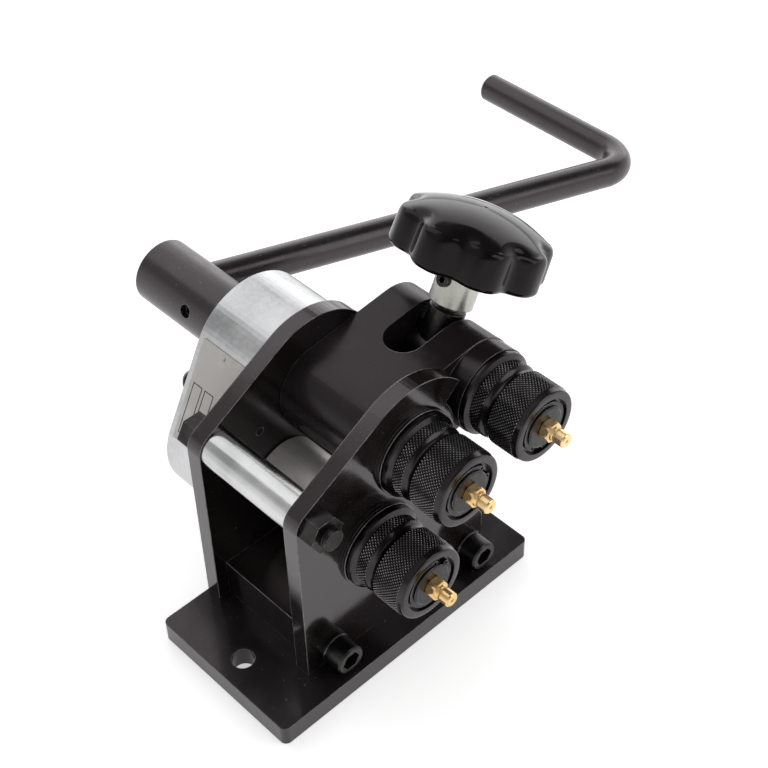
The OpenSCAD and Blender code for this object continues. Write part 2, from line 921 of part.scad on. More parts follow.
module bending_clip() {
    circlip(bending, 250);
}

module bending_nipple() {
    nipple(bending);
}

module bending_roller() {
    roller(bending, run_gap);
}

// Frame of the lifting screw: Z runs up along it, from the bending shaft's axis
module in_screw() {
    translate([bending[0], mid_y, bending[1]])
        rotate([0, screw_lean, 0])
            children();
}

module screw_foot() {
    color(steel)
        in_screw()
            translate([0, 0, -screw_reach]) {
                sphere(ball_r);
                cylinder(h = neck_h + stem_h, r = stem_r);
            }
}

module lifting_screw() {
    color(zinc)
        in_screw()
            difference() {
                translate([0, 0, -screw_reach + neck_h])
                    cylinder(h = screw_reach - neck_h + screw_top, r = screw_r);
                translate([0, 0, -screw_reach + neck_h - cut])
                    cylinder(h = stem_h + cut + side_gap, r = stem_r + run_gap);
            }
}

module set_collar() {
    color(zinc)
        in_screw()
            difference() {
                translate([0, 0, collar_z])
                    cylinder(h = collar_h, d = collar_d);
                translate([0, 0, collar_z - cut])
                    cylinder(h = collar_h + 2 * cut, r = screw_r + seat_gap);
                collar_screw_axis()
                    cylinder(h = collar_d, r = collar_screw_d / 2 + seat_gap);
            }
}

// The set screw points left out of the collar
module collar_screw_axis() {
    translate([0, 0, collar_z + collar_h * 0.6])
        rotate([0, -90, 0])
            children();
}

module collar_screw() {
    color(black)
        in_screw()
            collar_screw_axis()
                difference() {
                    translate([0, 0, screw_r + side_gap])
                        cylinder(h = collar_d / 2 + 2 - screw_r, d = collar_screw_d);
                    translate([0, 0, collar_d / 2 - 2])
                        cylinder(h = 5, r = collar_screw_d / 4, $fn = 6);
                }
}

// The knob's half section: hollow underside, tapered rim and dome
module knob_section() {
    r = knob_d / 2;
    r_top = r - knob_taper;
    dome_r = (r_top * r_top + knob_dome_h * knob_dome_h) / (2 * knob_dome_h);
    dome_mid = [0, knob_rim_z + knob_dome_h - dome_r];
    edge_a = acos(r_top / dome_r);
    bore = screw_r + seat_gap;
    polygon(concat([[bore, knob_z], [knob_hub_d / 2, knob_z], [knob_hub_d / 2, knob_z + knob_under],
        [r - knob_wall, knob_z + knob_under], [r - knob_wall + 2, knob_z]],
        arc([r - knob_round, knob_z + knob_round], knob_round, -90, 0),
        arc(dome_mid, dome_r, edge_a + knob_round / 2, 89), [[0, knob_rim_z + knob_dome_h], [0, screw_top],
        [bore, screw_top]]));
}

module star_knob() {
    color(black)
        in_screw()
            rotate([0, 0, knob_turn])
                difference() {
                    rotate_extrude()
                        knob_section();
                    for (i = [0:knob_lobes - 1])
                        rotate([0, 0, 360 * (i + 0.5) / knob_lobes])
                            translate([knob_d / 2 + knob_hollow_r - knob_hollow, 0, knob_z - cut])
                                cylinder(h = knob_rim_h + knob_dome_h + 2 * cut, r = knob_hollow_r);
                }
}

base_plate();
spacer_block();
front_plate();
rear_plate();
tie_tube();
tie_bolt();
tie_nut();
front_cap_screws();
rear_cap_screws();
foot_screws();
front_bushes();
rear_bushes();
gear_cover();
cover_pillars();
cover_screws();
label_plate();
label_rivets();
screw_cup();
drive_shaft();
drive_roller();
drive_clip();
drive_nipple();
drive_gear();
crank_hub();
hub_grub_screw();
crank_handle();
lower_shaft();
lower_sleeve();
lower_roller();
lower_clip();
lower_nipple();
lower_gear();
swing_arm();
arm_bush();
bending_shaft();
bending_clip();
bending_nipple();
bending_roller();
screw_foot();
lifting_screw();
star_knob();
set_collar();
collar_screw();
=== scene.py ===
import json
import math

import bmesh
import bpy
from mathutils import Matrix, Vector


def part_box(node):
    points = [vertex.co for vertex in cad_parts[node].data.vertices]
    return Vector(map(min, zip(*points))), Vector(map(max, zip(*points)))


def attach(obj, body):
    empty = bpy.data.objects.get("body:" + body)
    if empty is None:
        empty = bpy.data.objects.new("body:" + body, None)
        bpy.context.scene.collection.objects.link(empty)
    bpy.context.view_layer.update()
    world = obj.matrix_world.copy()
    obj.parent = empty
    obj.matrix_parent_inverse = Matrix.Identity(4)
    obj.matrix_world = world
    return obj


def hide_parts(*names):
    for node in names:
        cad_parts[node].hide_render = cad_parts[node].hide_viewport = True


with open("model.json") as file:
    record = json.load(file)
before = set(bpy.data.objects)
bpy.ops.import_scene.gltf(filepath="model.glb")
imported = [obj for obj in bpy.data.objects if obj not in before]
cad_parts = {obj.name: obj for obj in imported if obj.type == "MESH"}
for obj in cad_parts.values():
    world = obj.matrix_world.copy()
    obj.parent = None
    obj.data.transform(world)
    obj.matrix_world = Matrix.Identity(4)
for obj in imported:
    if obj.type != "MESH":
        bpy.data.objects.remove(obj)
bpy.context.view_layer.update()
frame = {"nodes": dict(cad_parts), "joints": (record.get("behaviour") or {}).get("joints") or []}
nodes = frame["nodes"]
joints = {j["name"]: j for j in frame["joints"]}

MM = 0.001
SHARP_ANGLE = math.radians(32)


# Shader helpers. Node objects sit at the origin, so object coordinates are metres in the part's frame.

# The mix node's sockets for each kind of value: first, second, result
MIX_SOCKETS = {"FLOAT": (2, 3, 0), "RGBA": (6, 7, 2)}
BEVEL_SAMPLES = 6
# How far a rounded normal leans from the face's own where an edge begins to count and where it counts in full
EDGE_LEAN = (0.02, 0.2)


class Nodes:
    """A node tree with short calls for the nodes used here."""

    def __init__(self, tree):
        self.tree = tree

    def put(self, kind, *inputs, **settings):
        """Adds a node and fills its first inputs."""
        node = self.tree.nodes.new(kind)
        for key, value in settings.items():
            setattr(node, key, value)
        for socket, value in zip(node.inputs, inputs):
            self.wire(value, socket)
        return node

    def wire(self, value, socket):
        if isinstance(value, bpy.types.NodeSocket):
            self.tree.links.new(value, socket)
        else:
            socket.default_value = value

    def math(self, operation, *values):
        return self.put("ShaderNodeMath", *values, operation=operation).outputs[0]

    def ramp(self, value, low, high, out_low=0.0, out_high=1.0):
        inputs = (value, low, high, out_low, out_high)
        return self.put("ShaderNodeMapRange", *inputs, interpolation_type="SMOOTHSTEP").outputs[0]

    def mix(self, amount, a, b, kind="RGBA"):
        first, second, result = MIX_SOCKETS[kind]
        node = self.put("ShaderNodeMix", amount, data_type=kind)
        self.wire(a, node.inputs[first])
        self.wire(b, node.inputs[second])
        return node.outputs[result]


class Shader(Nodes):
    """A material with one principled shader."""

    def __init__(self, name):
        self.mat = bpy.data.materials.new(name)
        self.mat.use_nodes = True
        super().__init__(self.mat.node_tree)
        self.bsdf = self.tree.nodes["Principled BSDF"]
        self.coord = self.put("ShaderNodeTexCoord").outputs["Object"]

    def set(self, **values):
        for key, value in values.items():
            self.wire(value, self.bsdf.inputs[key.replace("_", " ")])

    def noise(self, scale, detail=4.0, rough=0.55, grain=None):
        """Noise with a scale per metre; grain stretches it along the axes with low factors."""
        source = self.coord
        if grain:
            source = self.put("ShaderNodeVectorMath", source, grain, operation="MULTIPLY").outputs[0]
        node = self.put("ShaderNodeTexNoise", source)
        node.inputs["Scale"].default_value = scale
        node.inputs["Detail"].default_value = detail
        node.inputs["Roughness"].default_value = rough
        return node.outputs[0]

    def rounded(self, radius):
        """The normal with sharp edges rounded."""
        bevel = self.put("ShaderNodeBevel", samples=BEVEL_SAMPLES)
        bevel.inputs["Radius"].default_value = radius
        return bevel.outputs[0]

    def edges(self, radius):
        """How close a point is to a sharp edge: 0 on flat faces, 1 on the edge."""
        face = self.put("ShaderNodeNewGeometry").outputs["Normal"]
        dot = self.put("ShaderNodeVectorMath", self.rounded(radius), face, operation="DOT_PRODUCT")
        return self.ramp(self.math("SUBTRACT", 1.0, dot.outputs["Value"]), *EDGE_LEAN)

    def gloss(self, tone, low, high, rough, spread):
        """A roughness that varies with a tone."""
        self.set(Roughness=self.ramp(tone, low, high, rough + spread[0], rough + spread[1]))

    def bump(self, height, distance, strength, round_edge):
        node = self.put("ShaderNodeBump")
        node.inputs["Strength"].default_value = strength
        node.inputs["Distance"].default_value = distance
        self.wire(height, node.inputs["Height"])
        self.wire(self.rounded(round_edge), node.inputs["Normal"])
        self.wire(node.outputs[0], self.bsdf.inputs["Normal"])


def rgb(r, g, b):
    return (r, g, b, 1.0)


def grey(v):
    return rgb(v, v, v)


def lighter(color, gain):
    return rgb(*(gain * c for c in color[:3]))


LACQUER_TINT = rgb(1.0, 0.9, 0.95)
DUST_GAIN = 1.8
LACQUER_RUB = 1.1 * MM
LACQUER_EDGE = 0.7 * MM
LACQUER_BUMP = 0.5
GLOSS_SPREAD = (-0.04, 0.05)


def paint(name, color, worn, rough, wear=0.6, peel=0.03 * MM, specular=0.3, chipped=0.0):
    """Lacquer, plastic or film: slight orange peel, dust, rubbed edges and, where asked for, chips."""
    s = Shader(name)
    dust = s.ramp(s.noise(scale=45, detail=5), low=0.5, high=0.85)
    base = s.mix(dust, color, lighter(color, DUST_GAIN))
    patches = s.ramp(s.noise(scale=160, detail=5), low=0.3, high=0.6, out_low=0.25, out_high=wear)
    rub = s.math("MULTIPLY", s.edges(LACQUER_RUB), patches)
    if chipped:
        chips = s.ramp(s.noise(scale=420, detail=2), low=0.7, high=0.76, out_high=chipped)
        rub = s.math("MAXIMUM", rub, chips)
    s.set(Base_Color=s.mix(rub, base, worn), Specular_IOR_Level=specular, Specular_Tint=LACQUER_TINT)
    s.gloss(s.noise(scale=70, detail=3), 0.25, 0.75, rough, GLOSS_SPREAD)
    s.bump(s.noise(scale=600, detail=3), peel, LACQUER_BUMP, LACQUER_EDGE)
    return s.mat


EVEN = (1, 1, 1)
ALONG_Y = (1, 0.1, 1)
METAL_TONES = (0.3, 0.7)
GRAIN_SHARE = 0.35
GRAIN_DEPTH = 0.01 * MM
GRAIN_BUMP = 0.5
METAL_EDGE = 0.5 * MM


def metal(name, low, high, rough, grain=EVEN, grain_scale=300, spread=0.06, bare=1.0):
    """Bare or plated metal with directional grain and clouded tone; a dull film lowers the bare share."""
    s = Shader(name)
    cloud = s.noise(scale=28, detail=4, rough=0.5)
    streaks = s.noise(grain_scale, detail=4, rough=0.6, grain=grain)
    tone = s.math("MULTIPLY_ADD", streaks, GRAIN_SHARE, s.math("MULTIPLY", cloud, 1 - GRAIN_SHARE))
    s.set(Base_Color=s.mix(s.ramp(tone, *METAL_TONES), low, high), Metallic=bare)
    s.gloss(tone, *METAL_TONES, rough, (-spread, spread))
    s.bump(streaks, GRAIN_DEPTH, GRAIN_BUMP, METAL_EDGE)
    return s.mat


OXIDE_METALLIC = 0.9
OXIDE_GAIN = 1.7
OXIDE_SPREAD = (-0.06, 0.08)
OXIDE_RUB = 0.6 * MM
OXIDE_DEPTH = 0.02 * MM
OXIDE_BUMP = 0.4


def wear_oxide(name, color, bright, rough):
    """Blackened steel with rubbed, brighter edges."""
    s = Shader(name)
    patches = s.ramp(s.noise(scale=260, detail=4), low=0.35, high=0.6, out_low=0.1, out_high=0.8)
    rub = s.math("MULTIPLY", s.edges(OXIDE_RUB), patches)
    cloud = s.ramp(s.noise(scale=120, detail=5), low=0.35, high=0.7)
    tone = s.mix(cloud, color, lighter(color, OXIDE_GAIN))
    s.set(Base_Color=s.mix(rub, tone, bright), Metallic=OXIDE_METALLIC)
    s.gloss(s.noise(scale=220, detail=5), *METAL_TONES, rough, OXIDE_SPREAD)
    s.bump(s.noise(scale=900, detail=3), OXIDE_DEPTH, OXIDE_BUMP, METAL_EDGE)
    return s.mat


# The mesh attribute that marks the knurl's peaks for the roller's material, which paints them bright, partly as
# rubbed steel and partly as painted glints
PEAK_GLINT_MARK = "knurl_peak_glint"
KNURL_GAIN = 1.5


def knurl_oxide_glints(name, color, bright, rough):
    """Blackened roller: the knurl's marked peaks are painted bright, partly as rubbed steel and partly as
    painted glints; its valleys keep the dark oxide tone.
    """
    s = Shader(name)
    peak = s.put("ShaderNodeAttribute", attribute_name=PEAK_GLINT_MARK).outputs["Fac"]
    patches = s.ramp(s.noise(scale=140, detail=3), low=0.3, high=0.6, out_low=0.45, out_high=1.0)
    # Peaks painted bright: partly rubbed steel, partly painted glints
    worn = s.math("MULTIPLY", s.ramp(peak, low=0.45, high=0.9), patches)
    cloud = s.ramp(s.noise(scale=60, detail=4), low=0.35, high=0.7)
    tone = s.mix(cloud, color, lighter(color, KNURL_GAIN))
    s.set(Base_Color=s.mix(worn, tone, bright), Metallic=OXIDE_METALLIC)
    s.gloss(s.noise(scale=180, detail=4), *METAL_TONES, rough, GLOSS_SPREAD)
    return s.mat


MATERIALS = {
    "plate": paint("plate_lacquer", rgb(0.0088, 0.0066, 0.0066), grey(0.36), rough=0.13, wear=0.9,
                   specular=0.75, chipped=0.12),
    "base": paint("base_lacquer", rgb(0.0098, 0.0082, 0.0082), grey(0.28), rough=0.2, wear=0.85,
                  specular=0.55, chipped=0.2),
    "arm": paint("arm_lacquer", rgb(0.0145, 0.0114, 0.0122), grey(0.24), rough=0.24, wear=0.7,
                 specular=0.32, chipped=0.12),
    "crank": paint("crank_lacquer", rgb(0.0105, 0.0086, 0.0092), grey(0.3), rough=0.27, wear=0.7,
                   specular=0.7, chipped=0.5),
    "knob": paint("knob_plastic", rgb(0.0052, 0.0045, 0.005), grey(0.012), rough=0.1, wear=0.1,
                  peel=0.006 * MM, specular=0.22),
    "oxide": wear_oxide("black_oxide", rgb(0.027, 0.0255, 0.025), grey(0.32), rough=0.3),
    # The roller's bright grey is the knurl peaks' colour, partly rubbed steel and partly painted glints
    "roller": knurl_oxide_glints("roller_oxide_glints", rgb(0.038, 0.034, 0.035), grey(0.5), rough=0.2),
    "zinc": metal("zinc_sheet", rgb(0.43, 0.435, 0.44), rgb(0.62, 0.62, 0.63), rough=0.3, spread=0.08),
    "tube": metal("zinc_tube", rgb(0.42, 0.43, 0.43), rgb(0.66, 0.66, 0.66), rough=0.22,
                  grain=ALONG_Y, grain_scale=240, spread=0.08),
    "sleeve": metal("sleeve_steel", rgb(0.68, 0.64, 0.63), rgb(0.86, 0.82, 0.81), rough=0.42,
                    grain=ALONG_Y, grain_scale=500, bare=0.4),
    "collar": metal("collar_zinc", rgb(0.36, 0.36, 0.32), rgb(0.58, 0.57, 0.52), rough=0.28,
                    grain=(1, 1, 0.15), grain_scale=600),
    "screw": metal("screw_steel", grey(0.13), grey(0.3), rough=0.3),
    "steel": metal("turned_steel", grey(0.3), grey(0.55), rough=0.26, grain=ALONG_Y, grain_scale=600),
    "bronze": metal("bush_bronze", rgb(0.25, 0.15, 0.07), rgb(0.42, 0.27, 0.13), rough=0.35),
    "brass": metal("nipple_brass", rgb(0.86, 0.55, 0.22), rgb(0.98, 0.75, 0.42), rough=0.24,
                   grain=(1, 0.2, 1), grain_scale=700, bare=0.8),
    "label": paint("label_film", rgb(0.62, 0.6, 0.57), grey(0.6), rough=0.34, wear=0.1),
    "ink": paint("label_lines", grey(0.03), grey(0.1), rough=0.5, wear=0.1),
}

LOOKS = {
    "plate": ["front_plate", "rear_plate", "front_bushes", "spacer_block"],
    "base": ["base_plate"],
    "arm": ["swing_arm"],
    "crank": ["crank_handle", "crank_hub"],
    "knob": ["star_knob"],
    "oxide": ["tie_bolt", "tie_nut", "front_cap_screws", "rear_cap_screws", "foot_screws", "cover_screws",
              "hub_grub_screw", "collar_screw", "drive_clip", "lower_clip", "bending_clip", "drive_shaft",
              "lower_shaft", "bending_shaft", "cover_pillars"],
    "roller": ["drive_roller", "lower_roller", "bending_roller"],
    "zinc": ["gear_cover"],
    "tube": ["tie_tube"],
    "collar": ["set_collar"],
    "screw": ["lifting_screw"],
    "steel": ["lower_sleeve", "drive_gear", "lower_gear", "screw_cup", "screw_foot"],
    "bronze": ["rear_bushes", "arm_bush"],
    "brass": ["drive_nipple", "lower_nipple", "bending_nipple"],
    "label": ["label_plate", "label_rivets"],
}
for look, names in LOOKS.items():
    for name in names:
        mesh = nodes[name].data
        mesh.materials.clear()
        mesh.materials.append(MATERIALS[look])


# Pieces that carry fine forms. Most are turned about an axis: a root, a direction and a direction across it.

def shown_mesh(name, verts, faces, look, body, replaced=None):
    """Makes a shaded mesh object that moves with a body and may stand for a CAD node."""
    mesh = bpy.data.meshes.new(name)
    mesh.from_pydata(verts, [], faces)
    work = bmesh.new()
    work.from_mesh(mesh)
    bmesh.ops.recalc_face_normals(work, faces=work.faces)
    work.to_mesh(mesh)
    work.free()
    mesh.shade_smooth()
    mesh.set_sharp_from_angle(angle=SHARP_ANGLE)
    mesh.materials.append(MATERIALS[look])
    piece = bpy.data.objects.new(name, mesh)
    bpy.context.scene.collection.objects.link(piece)
    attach(piece, body)
    if replaced:
        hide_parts(replaced)
    return piece


def rings(axis, rows, columns):
    """Points of the rows round an axis. A row is a height and a radius in mm, or a function of the angle."""
    root, up, side = axis
    third = up.cross(side)
    points = []
    for height, radius in rows:
        for i in range(columns):
            a = math.tau * i / columns
            r = (radius(a) if callable(radius) else radius) * MM
            points.append(root + up * height * MM + r * (math.cos(a) * side + math.sin(a) * third))
    return points


def ring_faces(count, columns, first=0, folded=(), closed=True):
    """Faces between rings of points. Quads between two folded rings fold along their low diagonal."""
    faces = []
    for j in range(count if closed else count - 1):
        k = (j + 1) % count
        for i in range(columns):
            n = (i + 1) % columns
            corners = ((j, i), (j, n), (k, n), (k, i))
            a, b, c, d = (first + row * columns + col for row, col in corners)
            if not (j in folded and k in folded):
                faces.append((a, b, c, d))
            elif (i + j) % 2 == 0:
                faces += [(a, b, c), (a, c, d)]
            else:
                faces += [(a, b, d), (b, c, d)]
    if not closed:
        last = first + (count - 1) * columns
        faces += [tuple(range(first, first + columns)), tuple(range(last, last + columns))]
    return faces


def turned(name, axis, rows, columns, look, body, replaced=None, folded=(), closed=True):
    """A piece turned about an axis: rows that close on themselves, or open ones with a face at each end."""
    faces = ring_faces(len(rows), columns, folded=folded, closed=closed)
    return shown_mesh(name, rings(axis, rows, columns), faces, look, body, replaced)


def hexagon(across):
    """A radius that draws a hexagon of the given width across its flats."""
    return lambda a: across / 2 / math.cos(a % (math.pi / 3) - math.pi / 6)


def y_axis(x, z):
    """An axis along +Y through a point given in metres; heights on it are the frame's Y."""
    return Vector((x, 0, z)), Vector((0, 1, 0)), Vector((1, 0, 0))


def node_axis(node):
    low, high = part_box(node)
    return y_axis((low.x + high.x) / 2, (low.z + high.z) / 2)


# Knurled rollers, in mm from the roller's rear face towards the front
KNURL_AROUND = 68
KNURL_DEPTH = 0.5
BAND_R = 22.3
BANDS = (7.0, 17.5)
ROLLER_BORE = 12.6
FLANGE_R = 25.0
FLANGE_W = 4.5
FLANGE_BEVEL = 0.4
RIM_END = 2.4
SHOULDER_AT = 3.0
SHOULDER_DROP = 0.3
GROOVE_W = 5.5
GROOVE_DEPTH = 1.7
GROOVE_STEPS = 12
NOSE_W = 3.5
NOSE_DROP = 0.8
NOSE_ROUND = 1.2
NOSE_STEPS = 4
RECESS_R = 16.9
RECESS_DEPTH = 2.4
RECESS_BEVEL = (0.2, 0.3)


def roller_rows():
    """The roller's closed half section, rear to front and back through the bore, and its knurled rows."""
    low_r = BAND_R - KNURL_DEPTH
    step = math.pi / KNURL_AROUND
    rows = [(0.0, ROLLER_BORE), (0.0, FLANGE_R - FLANGE_BEVEL), (FLANGE_BEVEL, FLANGE_R),
            (RIM_END, FLANGE_R), (SHOULDER_AT, FLANGE_R - SHOULDER_DROP)]
    knurled = set()

    def add_band(start, width):
        count = 2 * round(width / (math.tau * BAND_R / KNURL_AROUND))
        rows.append((start, low_r))
        for i in range(count):
            j = len(rows)
            knurled.add(j)
            rows.append((start + width * (i + 0.5) / count,
                         lambda a, j=j: low_r if (round(a / step) + j) % 2 == 0 else BAND_R))
        rows.append((start + width, low_r))

    add_band(FLANGE_W, BANDS[0])
    groove = FLANGE_W + BANDS[0]
    for i in range(1, GROOVE_STEPS):
        depth = GROOVE_DEPTH * math.sin(math.pi * i / GROOVE_STEPS)
        rows.append((groove + GROOVE_W * i / GROOVE_STEPS, low_r - depth))
    add_band(groove + GROOVE_W, BANDS[1])
    end = groove + GROOVE_W + BANDS[1] + NOSE_W
    nose = BAND_R - NOSE_DROP
    for i in range(NOSE_STEPS + 1):
        a = math.radians(90 * i / NOSE_STEPS)
        rows.append((end - NOSE_ROUND + NOSE_ROUND * math.sin(a), nose - NOSE_ROUND * (1 - math.cos(a))))
    bevel_depth, bevel_width = RECESS_BEVEL
    rows += [(end, RECESS_R + bevel_width), (end - bevel_depth, RECESS_R), (end - RECESS_DEPTH, RECESS_R),
             (end - RECESS_DEPTH, ROLLER_BORE)]
    return rows, knurled


def add_roller(node, body):
    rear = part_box(node)[1].y / MM
    rows, knurled = roller_rows()
    rows = [(rear - depth, radius) for depth, radius in rows]
    columns = 2 * KNURL_AROUND
    piece = turned(node + "_knurled", node_axis(node), rows, columns, "roller", body, node,
                   folded=knurled)
    # Marks the knurl peaks that the roller's material paints bright, partly as rubbed steel and partly as
    # painted glints
    marks = piece.data.attributes.new(PEAK_GLINT_MARK, "FLOAT", "POINT").data
    for j in knurled:
        for i in range(columns):
            marks[j * columns + i].value = (i + j) % 2


# Grease nipples, in mm from the shaft's end towards the front
HEX_COLUMNS = 60
NIPPLE_THREAD_R = 5.0
NIPPLE_THREAD_L = 7.0
NIPPLE_AF = 11.0
NIPPLE_HEX_L = 5.5
# The hexagon's bevels at the shaft and at the stem: width and the radius left
NIPPLE_BEVELS = ((0.5, 5.8), (0.7, 5.6))
NIPPLE_STEM_R = 4.2
NIPPLE_LEN = 14.4
NIPPLE_GROOVE = (7.0, 8.4)
NIPPLE_STEP = 0.3
NIPPLE_TIP_BEVEL = (0.8, 0.7)
# The hole in the tip: its depth, its radius at the mouth and at the bottom
NIPPLE_HOLE = (0.8, 1.1, 0.9)


def add_nipple(node, body):
    """Thread, bevelled hexagon and a nearly straight stem with a groove by the hexagon and a flat tip."""
    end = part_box(node)[0].y / MM + NIPPLE_LEN
    flats = hexagon(NIPPLE_AF)
    (rear_bevel, rear_r), (front_bevel, front_r) = NIPPLE_BEVELS
    groove_from, groove_to = NIPPLE_GROOVE
    tip_length, tip_drop = NIPPLE_TIP_BEVEL
    hole_depth, mouth_r, bottom_r = NIPPLE_HOLE
    r, step = NIPPLE_STEM_R, NIPPLE_STEP
    rows = [(-NIPPLE_THREAD_L, NIPPLE_THREAD_R), (0.0, NIPPLE_THREAD_R),
            (0.0, lambda a: min(flats(a), rear_r)), (rear_bevel, flats),
            (NIPPLE_HEX_L - front_bevel, flats), (NIPPLE_HEX_L, lambda a: min(flats(a), front_r)),
            (NIPPLE_HEX_L, r + step), (groove_from, r), (groove_from + step, r - step),
            (groove_to - step, r - step), (groove_to, r), (NIPPLE_LEN - tip_length, r),
            (NIPPLE_LEN, r - tip_drop), (NIPPLE_LEN, mouth_r), (NIPPLE_LEN - hole_depth, bottom_r)]
    rows = [(end - t, radius) for t, radius in rows]
    turned(node + "_turned", node_axis(node), rows, HEX_COLUMNS, "brass", body, node, closed=False)


# Lifting screw and its nut, in mm along the screw from the bending shaft's axis
THREAD_PITCH = 3.0
THREAD_R = 6.0
THREAD_DEPTH = 1.3
THREAD_STEPS = 8
THREAD_COLUMNS = 40
THREAD_RUN_OUT = 0.4
# Half the crest and one flank, as shares of half a pitch
CREST_SHARE = 0.35
FLANK_SHARE = 0.3
SCREW_FROM = -93.0
SCREW_TO = 30.0
SCREW_TOP = 78.0
SCREW_POINT = 1.5
NUT_R = 10.5
NUT_FROM = 8.0
NUT_TO = 27.5
NUT_BEVEL = 0.8
NUT_ROOM = 0.1
NUT_COLUMNS = 64


def screw_axis():
    up = Vector(joints["knob_turn"]["axis"])
    return Vector(joints["knob_turn"]["pos_m"]), up, Vector((0, 1, 0)).cross(up)


def thread(height, pitch, radius, depth, room=math.inf):
    """A radius that draws a trapezoid thread, crest, flank, root, flank, and stays within the room."""
    def shape(a):
        p = abs((height / pitch - a / math.tau) % 1.0 - 0.5) * 2
        return min(radius - depth * min(1.0, max(0.0, (p - CREST_SHARE) / FLANK_SHARE)), room)
    return shape


def add_screw():
    """The lifting screw: threaded up to the collar, plain above it."""
    count = int((SCREW_TO - SCREW_FROM) / THREAD_PITCH * THREAD_STEPS)
    heights = [SCREW_FROM + THREAD_PITCH * i / THREAD_STEPS for i in range(count + 1)]
    point_r = THREAD_R - SCREW_POINT
    rows = [(t, thread(t, THREAD_PITCH, THREAD_R, THREAD_DEPTH, point_r + t - SCREW_FROM)) for t in heights]
    rows += [(heights[-1] + THREAD_RUN_OUT, THREAD_R), (SCREW_TOP, THREAD_R)]
    turned("lifting_screw_threaded", screw_axis(), rows, THREAD_COLUMNS, "screw", "screw",
           "lifting_screw", closed=False)


def add_screw_nut():
    """The round nut that fills the arm's slot under the collar."""
    bore = THREAD_R + NUT_ROOM
    rows = [(NUT_FROM, bore), (NUT_FROM, NUT_R), (NUT_TO - NUT_BEVEL, NUT_R), (NUT_TO, NUT_R - NUT_BEVEL),
            (NUT_TO, bore)]
    turned("screw_nut", screw_axis(), rows, NUT_COLUMNS, "oxide", "pivot")


# Knob, in mm along the screw from the knob's underside
KNOB_FROM = 54.0
KNOB_R = 44.5
KNOB_LOBES = 8
LOBE_COLUMNS = 24
KNOB_HOLLOW = 5.2
HOLLOW_POWER = 1.6
KNOB_TURN = math.radians(6)
KNOB_BORE = 6.1
KNOB_HUB_R = 16.0
HUB_BEVEL = 0.6
KNOB_UNDER = 12.0
# The hollow underside's outer wall: height, radius and share of the flutes
KNOB_INSIDE = ((KNOB_UNDER, KNOB_R - 13.0, 0.7), (1.2, KNOB_R - 9.5, 0.9), (0.1, KNOB_R - 8.0, 0.95))
KNOB_FILLET = 3.6
FILLET_STEPS = 6
# The upper edge's curve, start, bend and end as height and radius, and how much of the flutes fades over it
KNOB_EDGE = ((17.5, KNOB_R - 0.6), (21.9, KNOB_R - 1.0), (22.6, 40.6))
EDGE_STEPS = 8
EDGE_FADE = 0.1
KNOB_TOP = 32.7
DOME_R = 86.7
EYE_R = 1.0
# The dome from its edge to its middle: radius and share of the flutes
DOME_ROWS = ((39.0, 0.76), (37.0, 0.5), (35.0, 0.27), (33.0, 0.11), (31.0, 0.03), (28.0, 0.0), (22.0, 0.0),
             (15.0, 0.0), (8.0, 0.0), (EYE_R, 0.0))
CROWN_THICK = 11.0


def lobed(radius, depth):
    """A radius with rounded flutes of a share of the full depth between the lobes."""
    def shape(a):
        wave = 0.5 - 0.5 * math.cos(KNOB_LOBES * (a - KNOB_TURN))
        return radius - KNOB_HOLLOW * depth * wave ** HOLLOW_POWER
    return shape


def knob_rows():
    """The knob's closed half section: hub, hollow underside, wall, tight edge and dome that ends the flutes."""
    rows = [(0.0, KNOB_BORE), (0.0, KNOB_HUB_R - HUB_BEVEL), (HUB_BEVEL, KNOB_HUB_R), (KNOB_UNDER, KNOB_HUB_R)]
    rows += [(t, lobed(r, depth)) for t, r, depth in KNOB_INSIDE]
    for i in range(FILLET_STEPS + 1):
        a = math.radians(90 * i / FILLET_STEPS)
        rows.append((KNOB_FILLET * (1 - math.cos(a)), lobed(KNOB_R - KNOB_FILLET * (1 - math.sin(a)), 1.0)))
    for i in range(EDGE_STEPS + 1):
        f = i / EDGE_STEPS
        t, r = ((1 - f) ** 2 * p + 2 * f * (1 - f) * q + f * f * e for p, q, e in zip(*KNOB_EDGE))
        rows.append((t, lobed(r, 1.0 - EDGE_FADE * f * f)))
    for r, depth in DOME_ROWS:
        rows.append((KNOB_TOP - DOME_R + math.sqrt(DOME_R ** 2 - r * r), lobed(r, depth)))
    rows += [(KNOB_TOP - CROWN_THICK, EYE_R), (KNOB_TOP - CROWN_THICK, KNOB_BORE)]
    return [(KNOB_FROM + t, r) for t, r in rows]


def add_knob():
    turned("star_knob_moulded", screw_axis(), knob_rows(), LOBE_COLUMNS * KNOB_LOBES, "knob", "screw",
           "star_knob")


# Cap screws with washers, in mm from the plate's face outwards
HEAD_R = 9.0
HEAD_H = 12.0
HEAD_BEVEL = 1.0
SOCKET_AF = 10.0
SOCKET_DEPTH = 6.0
SOCKET_BEVEL = (0.4, 0.6)
WASHER_R = 9.8
WASHER_T = 3.0
WASHER_BEVEL = 0.3
SHANK_R = 6.0
SHANK_LEN = 32.0
CORE_R = 0.5


